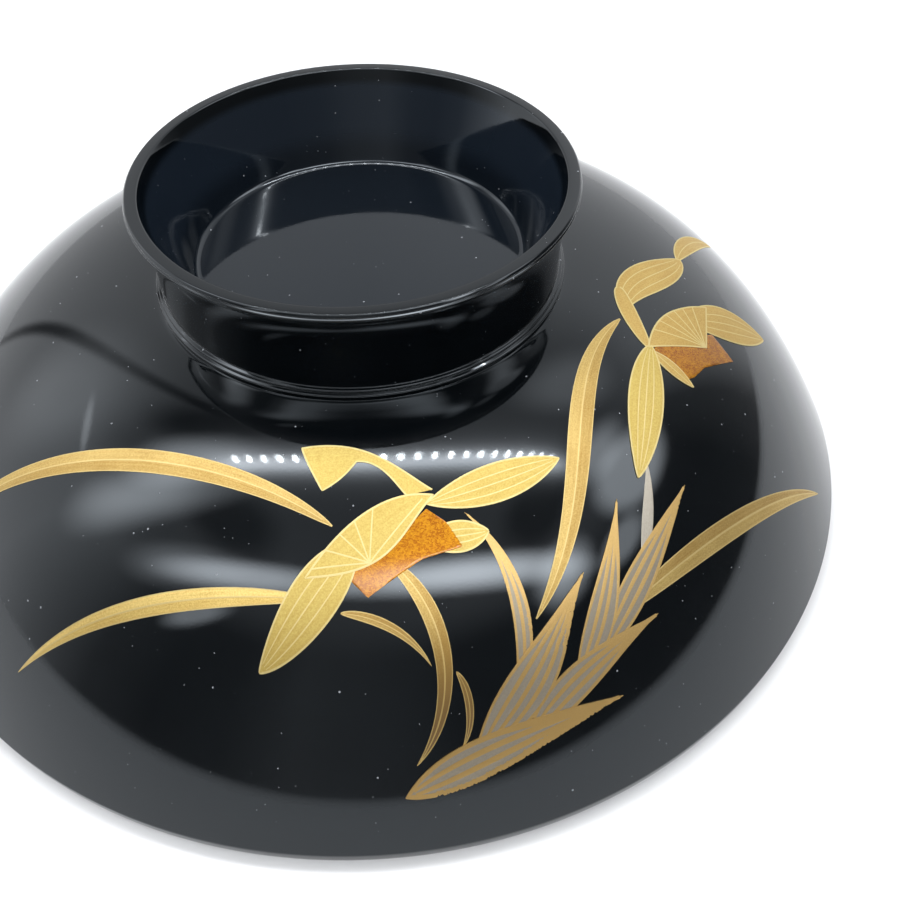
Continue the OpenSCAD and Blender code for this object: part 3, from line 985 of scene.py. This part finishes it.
def lamp_glow(tree, x, y, z):
    """The glow of the fitting round the row of lamps."""
    height = sums(tree, "MAXIMUM", z, 0.05)
    u = sums(tree, "DIVIDE", x, height)
    v = sums(tree, "DIVIDE", y, height)
    bend = sums(tree, "MULTIPLY", sums(tree, "MULTIPLY", u, u), ROW_BEND)
    slope = sums(tree, "MULTIPLY", u, ROW_SLOPE)
    row = sums(tree, "SUBTRACT", sums(tree, "SUBTRACT", ROW_V, slope), bend)
    away = sums(tree, "DIVIDE", sums(tree, "SUBTRACT", v, row), GLOW_WIDTH)
    falling = sums(tree, "POWER", sums(tree, "ADD", sums(tree, "MULTIPLY", away, away), 1.0), -2.0)
    past_end = sums(tree, "ABSOLUTE", sums(tree, "SUBTRACT", u, ROW_MIDDLE))
    ends = ease(tree, past_end, ROW_HALF - 0.04, ROW_HALF + 0.16, 1.0, 0.0)
    return sums(tree, "MULTIPLY", sums(tree, "MULTIPLY", falling, ends), GLOW_LEVEL)


def make_world():
    """The room that the lacquer mirrors: walls by azimuth, a ceiling, soft patches and a glow."""
    world = bpy.data.worlds.new("studio")
    bpy.context.scene.world = world
    world.use_nodes = True
    tree = world.node_tree
    tree.nodes.clear()
    direction = node(tree, "TexCoord").outputs["Generated"]
    x, y, z = node(tree, "SeparateXYZ", {0: direction}).outputs
    turn = ease_line(tree, sums(tree, "ARCTAN2", x, y), -math.pi, math.pi)
    ramp = node(tree, "ValToRGB", {"Fac": turn})
    fill_ramp(ramp.color_ramp, [((a + 180) / 360, level / BRIGHTEST_WALL) for a, level in WALLS])
    wall = sums(tree, "MULTIPLY", ramp.outputs[0], BRIGHTEST_WALL)
    wall = sums(tree, "MAXIMUM", wall, ease(tree, z, 0.0, HORIZON, HORIZON_LEVEL, 0.0))
    up = ease(tree, z, math.sin(math.radians(CEILING_FROM)), math.sin(math.radians(CEILING_TO)))
    room = sums(tree, "ADD", sums(tree, "MULTIPLY", wall, sums(tree, "SUBTRACT", 1.0, up)),
                sums(tree, "MULTIPLY", up, CEILING))
    flat = node(tree, "VectorMath", {0: node(tree, "CombineXYZ", {0: x, 1: y}).outputs[0]},
                operation="NORMALIZE").outputs[0]
    degrees = sums(tree, "MULTIPLY", sums(tree, "ARCCOSINE", z), 180 / math.pi)
    place = node(tree, "VectorMath", {0: flat, "Scale": degrees}, operation="SCALE").outputs[0]
    for values in PATCHES:
        room = sums(tree, "ADD", room, patch(tree, place, *values))
    room = sums(tree, "ADD", sums(tree, "MAXIMUM", room, DARKEST), lamp_glow(tree, x, y, z))
    tint = node(tree, "CombineColor", {0: sums(tree, "MULTIPLY", room, 0.985), 1: room,
                                       2: sums(tree, "MULTIPLY", room, 1.03)}).outputs[0]
    seen = node(tree, "LightPath").outputs["Is Camera Ray"]
    colour = blend(tree, seen, tint, (0.95, 0.95, 0.95, 1))
    background = node(tree, "Background", {"Color": colour})
    output = node(tree, "OutputWorld")
    tree.links.new(background.outputs[0], output.inputs["Surface"])


def make_leds():
    """A row of small bright lamps overhead, which the dome mirrors as a line of dots."""
    area = math.pi * LED_WIDE * LED_LONG / 4
    for i in range(LED_COUNT):
        light = bpy.data.lights.new(f"led_{i}", "AREA")
        light.shape = "ELLIPSE"
        light.size = LED_WIDE
        light.size_y = LED_LONG
        light.energy = LED_LEVEL * math.pi * area
        lamp = bpy.data.objects.new(f"led_{i}", light)
        u = ROW_MIDDLE + ROW_HALF * (2 * i / (LED_COUNT - 1) - 1)
        lamp.location = (LED_HEIGHT * u, LED_HEIGHT * lamp_v(u), LED_HEIGHT)
        back = lamp.location.normalized()
        side = Vector((0.0, 1.0, 0.0)).cross(back).normalized()
        lamp.rotation_euler = Matrix((side, back.cross(side), back)).transposed().to_euler()
        bpy.context.scene.collection.objects.link(lamp)


make_camera()
make_dish()
paint_leaves()
paint_left_flower()
paint_right_flower()
paint_blades()
make_floor()
make_world()
make_leds()
bpy.context.scene.view_settings.view_transform = "Standard"
